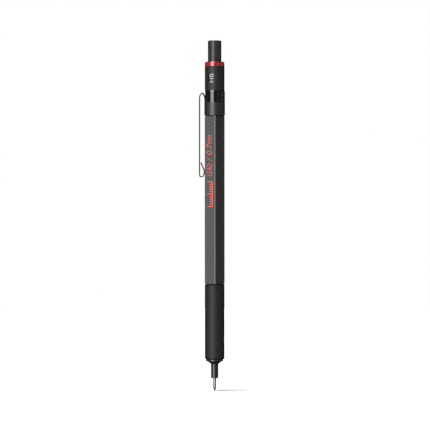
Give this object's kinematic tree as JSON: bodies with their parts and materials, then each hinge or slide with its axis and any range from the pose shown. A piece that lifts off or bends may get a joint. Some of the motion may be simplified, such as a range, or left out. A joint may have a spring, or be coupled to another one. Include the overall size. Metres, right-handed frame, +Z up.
{
  "type": "mechanical pencil",
  "caption": "Slim drafting pencil with a hexagonal barrel, knurled round grip, stepped nose with a fixed lead pipe, spring clip, turning lead-grade window and a push button.",
  "frame": {"origin": "the writing point, the middle of the lead's flat end", "axes": "+Z up the pencil's axis from the writing point to the push button; the clip lies on the -X side"},
  "size_m": [0.0105, 0.009, 0.142],
  "materials": {
    "barrel_lacquer": "satin",
    "grip_lacquer": "satin",
    "ring_black_chrome": "polished",
    "clip_lacquer": "satin",
    "brass": "satin",
    "drum_print": "matte",
    "sleeve_black_plastic": "satin",
    "red_anodised": "gloss",
    "nose_black_chrome": "satin",
    "stainless": "polished",
    "black_rubber": "matte",
    "graphite": "satin",
    "spring_steel": "satin",
    "tube_plastic": "satin",
    "nickel_brass": "gloss",
    "eraser_vinyl": "matte",
    "button_lacquer": "satin"
  },
  "bodies": {
    "body": {"barrel": "barrel_lacquer", "grip": "grip_lacquer", "mechanism_sleeve": "brass", "clip_band": "clip_lacquer", "clip_ring": "ring_black_chrome", "indicator_spindle": "brass", "grade_drum": "drum_print", "top_ring": "red_anodised", "chuck_spring": "spring_steel"},
    "nose_advance": {"lead_retainer": "black_rubber"},
    "nose": {"nose_cone": "nose_black_chrome", "lead_pipe": "stainless"},
    "lead_stick": {"lead": "graphite"},
    "feed": {"lead_tube": "tube_plastic", "chuck_holder": "brass", "chuck_stem": "brass", "spare_leads": "graphite", "eraser_collar": "nickel_brass", "eraser": "eraser_vinyl"},
    "jaw_1": {"chuck_jaw_1": "brass"},
    "jaw_2": {"chuck_jaw_2": "brass"},
    "jaw_3": {"chuck_jaw_3": "brass"},
    "ring": {"chuck_ring": "brass"},
    "button": {"push_button": "button_lacquer"},
    "window": {"grade_sleeve": "sleeve_black_plastic"},
    "clip": {"clip_arm": "clip_lacquer"}
  },
  "joints": [
    {"name": "press", "type": "slide", "parent": "body", "child": "feed", "axis": [0, 0, -1], "range_m": [0, 0.0035], "stiffness_N_per_m": 700, "springref_m": -0.0015, "deforming": ["chuck_spring"]},
    {"name": "ring_slide", "type": "slide", "parent": "body", "child": "ring", "axis": [0, 0, -1], "range_m": [0, 0.0008]},
    {"name": "lead_feed", "type": "slide", "parent": "body", "child": "lead_stick", "axis": [0, 0, -1], "range_m": [-0.0006, 0.002]},
    {"name": "nose_screw", "type": "slide", "parent": "body", "child": "nose_advance", "axis": [0, 0, -1], "range_m": [0, 0.0045]},
    {"name": "nose_turn", "type": "hinge", "parent": "nose_advance", "child": "nose", "pos_m": [0, 0, 0.016], "axis": [0, 0, 1], "range_deg": [0, 2160]},
    {"name": "button_pull", "type": "slide", "parent": "feed", "child": "button", "axis": [0, 0, 1], "range_m": [0, 0.014]},
    {"name": "window_turn", "type": "hinge", "parent": "body", "child": "window", "pos_m": [0, 0, 0.1265], "axis": [0, 0, 1], "continuous": true},
    {"name": "clip_flex", "type": "hinge", "parent": "body", "child": "clip", "pos_m": [-0.00509, 0, 0.1206], "axis": [0, 1, 0], "range_deg": [0, 5], "stiffness_Nm_per_rad": 1, "springref_deg": -1.72},
    {"name": "jaw_1_open", "type": "hinge", "parent": "feed", "child": "jaw_1", "pos_m": [0.0007, 0, 0.026], "axis": [0, -1, 0], "range_deg": [0, 1.2]},
    {"name": "jaw_2_open", "type": "hinge", "parent": "feed", "child": "jaw_2", "pos_m": [-0.00035, 0.00061, 0.026], "axis": [0.866, 0.5, 0], "range_deg": [0, 1.2]},
    {"name": "jaw_3_open", "type": "hinge", "parent": "feed", "child": "jaw_3", "pos_m": [-0.00035, -0.00061, 0.026], "axis": [-0.866, 0.5, 0], "range_deg": [0, 1.2]}
  ],
  "couplings": [
    {"joint": "ring_slide", "follows": "press", "ratio": 0.2228},
    {"joint": "jaw_1_open", "follows": "press", "rad_per_m": 5.98},
    {"joint": "jaw_2_open", "follows": "press", "rad_per_m": 5.98},
    {"joint": "jaw_3_open", "follows": "press", "rad_per_m": 5.98},
    {"joint": "nose_turn", "follows": "nose_screw", "rad_per_m": 8377.6}
  ]
}
